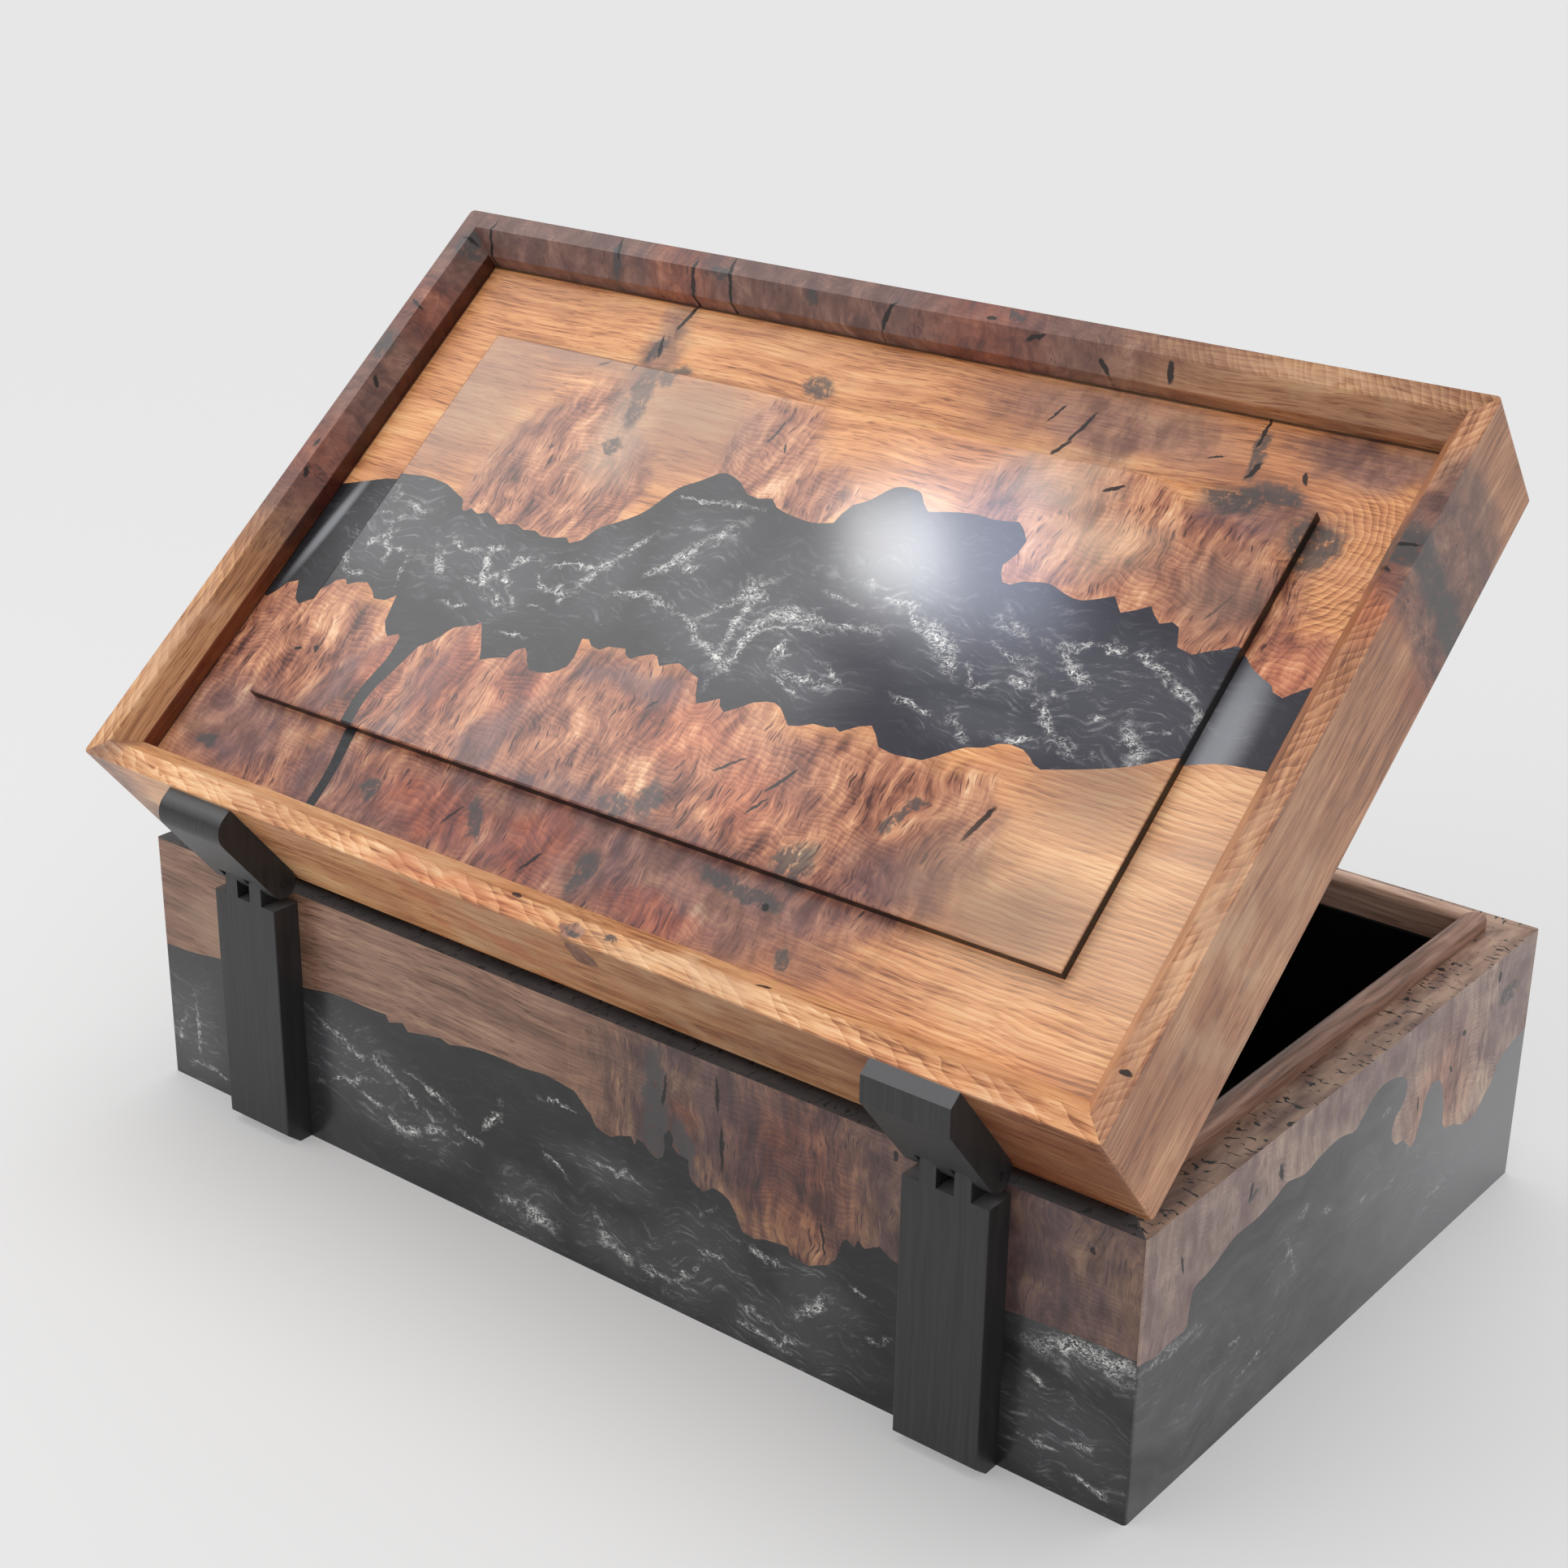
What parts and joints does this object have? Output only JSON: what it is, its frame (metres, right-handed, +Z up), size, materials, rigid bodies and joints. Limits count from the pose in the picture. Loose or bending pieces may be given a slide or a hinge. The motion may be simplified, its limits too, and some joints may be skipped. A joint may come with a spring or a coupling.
{
  "type": "keepsake box",
  "caption": "Rectangular keepsake box of live-edge wood and cast resin, with a velvet-lined body, a rounded bead at the rim and a deep framed lid on two wooden knuckle hinges.",
  "frame": {"origin": "middle of the flat underside of the box", "axes": "+X along the hinge side, +Y from the hinge side (back) to the opening side (front), +Z up"},
  "size_m": [0.41, 0.2816, 0.2925],
  "materials": {
    "burl_wood": "gloss lacquer over burl wood",
    "rail_wood": "satin lacquer over burl wood",
    "liner_wood": "satin lacquer",
    "bottom_wood": "oiled",
    "resin": "polished cast resin with mica swirls",
    "velvet": "black velvet",
    "ebonised_wood": "matt black stain",
    "steel": "drawn steel"
  },
  "bodies": {
    "base": {"back_wall_wood": "burl_wood", "back_wall_resin": "resin", "front_wall_wood": "burl_wood", "front_wall_resin": "resin", "left_wall_wood": "burl_wood", "left_wall_resin": "resin", "right_wall_wood": "burl_wood", "right_wall_resin": "resin", "bottom_board": "bottom_wood", "back_liner": "liner_wood", "front_liner": "liner_wood", "left_liner": "liner_wood", "right_liner": "liner_wood", "floor_velvet": "velvet", "back_velvet": "velvet", "front_velvet": "velvet", "left_velvet": "velvet", "right_velvet": "velvet", "left_hinge_bar": "ebonised_wood", "left_hinge_pin": "steel", "right_hinge_bar": "ebonised_wood", "right_hinge_pin": "steel"},
    "lid": {"lid_back_rail": "rail_wood", "lid_front_rail": "rail_wood", "lid_left_rail": "rail_wood", "lid_right_rail": "rail_wood", "lid_front_wood": "burl_wood", "lid_back_left_wood": "burl_wood", "lid_back_right_wood": "burl_wood", "lid_river_resin": "resin", "lid_velvet": "velvet", "left_hinge_arm": "ebonised_wood", "right_hinge_arm": "ebonised_wood"}
  },
  "joints": [
    {"name": "lid_hinge", "type": "hinge", "parent": "base", "child": "lid", "pos_m": [0, -0.1305, 0.0995], "axis": [1, 0, 0], "range_deg": [-39, 56]}
  ]
}
